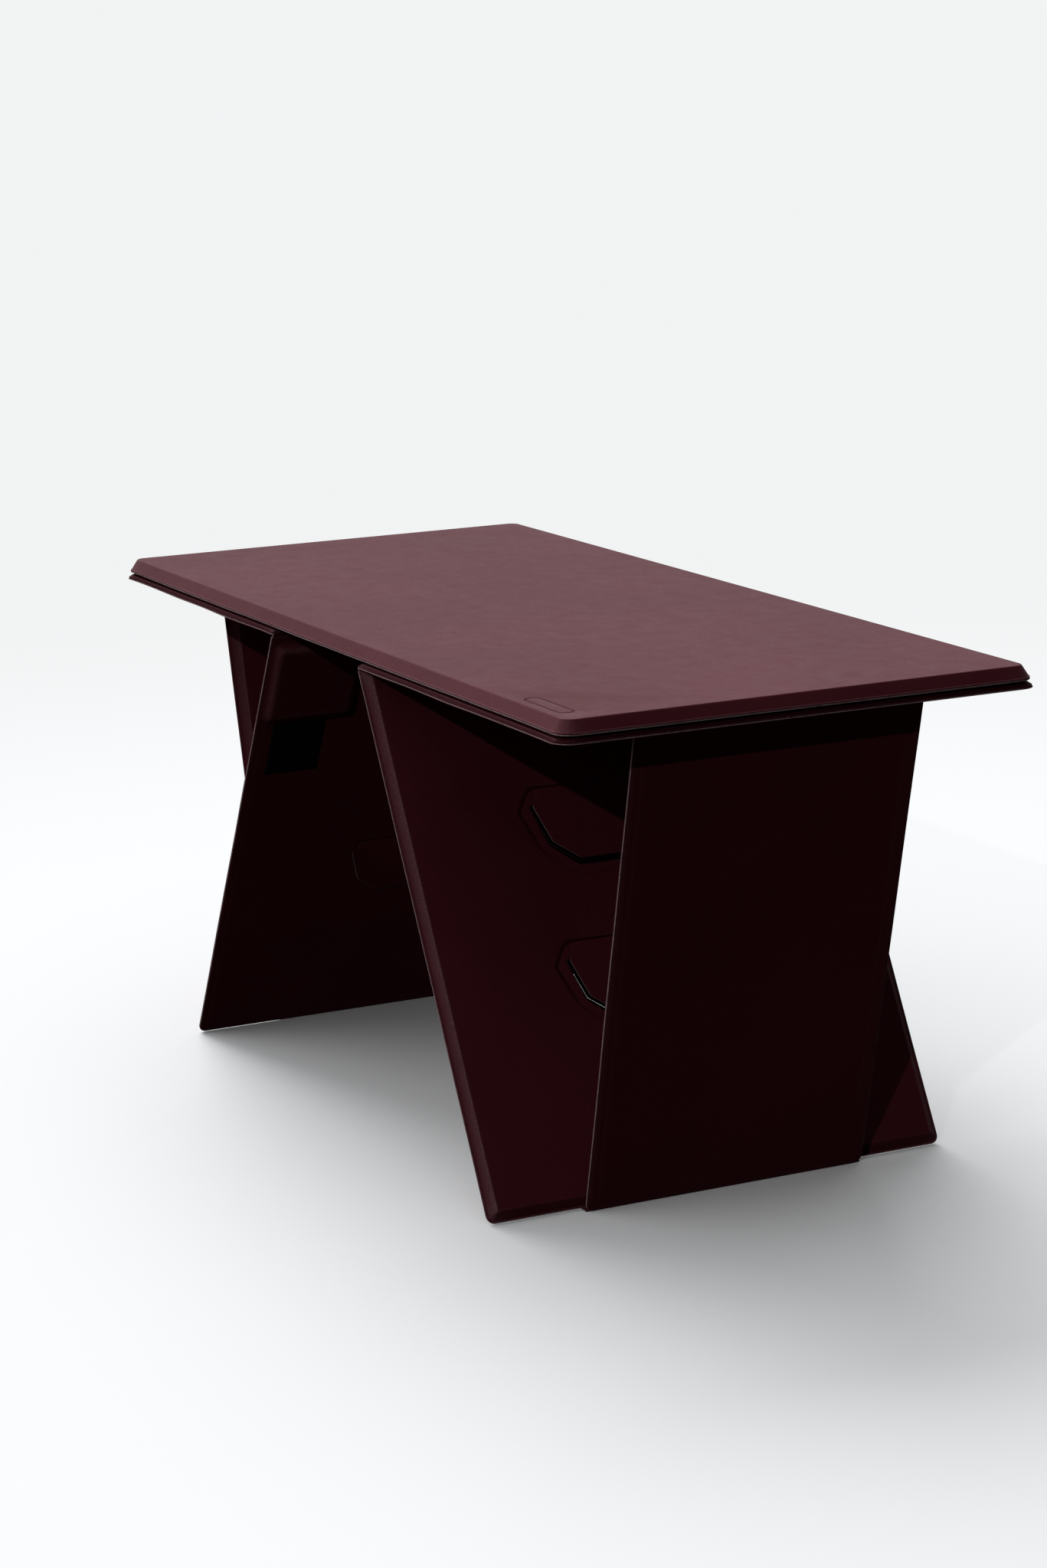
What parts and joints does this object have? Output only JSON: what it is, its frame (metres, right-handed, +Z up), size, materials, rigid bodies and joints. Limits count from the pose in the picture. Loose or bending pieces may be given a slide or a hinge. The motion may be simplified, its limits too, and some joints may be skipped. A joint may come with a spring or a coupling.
{
  "type": "standing desk converter",
  "caption": "Folding leather-covered desk riser: a flat worktop board on two V-shaped folding panel legs held under it by magnets, with push tabs in the inner panels.",
  "frame": {"origin": "on the desk surface, under the middle of the worktop board", "axes": "+X along the board towards the right-hand end, +Y from the front edge to the back edge, +Z up"},
  "size_m": [0.646, 0.292, 0.3005],
  "materials": {
    "leather_cover": "matte fine-grain moulded leather, oxblood",
    "leather_base": "matte fine-grain sheet leather, oxblood, pale raw cut edge",
    "leather_web": "matte leather crease",
    "leather_tab": "matte fine-grain leather on board, die cut",
    "leather_pad": "matte moulded leather pad",
    "hook_fabric": "black hook-and-loop pile",
    "fibreboard": "black-dyed pressed fibreboard",
    "magnet": "nickel-plated",
    "keeper_steel": "zinc-plated sheet"
  },
  "bodies": {
    "root": {"top_board_core": "fibreboard", "top_board_base_skin": "leather_base", "top_board_cover": "leather_cover", "board_keeper_plates": "keeper_steel", "right_mount_core": "fibreboard", "right_mount_base_skin": "leather_base", "right_mount_cover": "leather_cover", "right_mount_magnets": "magnet", "right_catch_plate": "keeper_steel", "right_fold_web": "leather_web", "left_mount_core": "fibreboard", "left_mount_base_skin": "leather_base", "left_mount_cover": "leather_cover", "left_mount_magnets": "magnet", "left_catch_plate": "keeper_steel", "left_fold_web": "leather_web"},
    "right_inner": {"right_inner_core": "fibreboard", "right_inner_base_skin": "leather_base", "right_inner_cover": "leather_cover", "right_stowage_pad": "leather_pad", "right_pad_magnet": "magnet", "right_hook_patch": "hook_fabric", "right_foot_web": "leather_web"},
    "right_outer": {"right_outer_core": "fibreboard", "right_outer_base_skin": "leather_base", "right_outer_cover": "leather_cover", "right_outer_magnets": "magnet"},
    "right_upper_tab": {"right_upper_tab": "leather_tab"},
    "right_lower_tab": {"right_lower_tab": "leather_tab"},
    "left_inner": {"left_inner_core": "fibreboard", "left_inner_base_skin": "leather_base", "left_inner_cover": "leather_cover", "left_stowage_pad": "leather_pad", "left_pad_magnet": "magnet", "left_hook_patch": "hook_fabric", "left_foot_web": "leather_web"},
    "left_outer": {"left_outer_core": "fibreboard", "left_outer_base_skin": "leather_base", "left_outer_cover": "leather_cover", "left_outer_magnets": "magnet"},
    "left_upper_tab": {"left_upper_tab": "leather_tab"},
    "left_lower_tab": {"left_lower_tab": "leather_tab"}
  },
  "joints": [
    {"name": "right_inner_fold", "type": "hinge", "parent": "root", "child": "right_inner", "pos_m": [0.064, 0, 0.2879], "axis": [0, 1, 0], "range_deg": [0, 38]},
    {"name": "right_outer_fold", "type": "hinge", "parent": "right_inner", "child": "right_outer", "pos_m": [0.22352, 0, 0.00568], "axis": [0, -1, 0], "range_deg": [0, 41.8]},
    {"name": "right_upper_tab_hinge", "type": "hinge", "parent": "right_inner", "child": "right_upper_tab", "pos_m": [0.10688, 0, 0.21401], "axis": [0, 1, 0], "range_deg": [0, 20]},
    {"name": "right_lower_tab_hinge", "type": "hinge", "parent": "right_inner", "child": "right_lower_tab", "pos_m": [0.15081, 0, 0.13294], "axis": [0, 1, 0], "range_deg": [0, 20]},
    {"name": "left_inner_fold", "type": "hinge", "parent": "root", "child": "left_inner", "pos_m": [-0.064, 0, 0.2879], "axis": [0, -1, 0], "range_deg": [0, 38]},
    {"name": "left_outer_fold", "type": "hinge", "parent": "left_inner", "child": "left_outer", "pos_m": [-0.22352, 0, 0.00568], "axis": [0, 1, 0], "range_deg": [0, 41.8]},
    {"name": "left_upper_tab_hinge", "type": "hinge", "parent": "left_inner", "child": "left_upper_tab", "pos_m": [-0.10688, 0, 0.21401], "axis": [0, -1, 0], "range_deg": [0, 20]},
    {"name": "left_lower_tab_hinge", "type": "hinge", "parent": "left_inner", "child": "left_lower_tab", "pos_m": [-0.15081, 0, 0.13294], "axis": [0, -1, 0], "range_deg": [0, 20]}
  ],
  "couplings": [
    {"joint": "right_outer_fold", "follows": "right_inner_fold", "ratio": 1.1},
    {"joint": "left_outer_fold", "follows": "left_inner_fold", "ratio": 1.1}
  ]
}
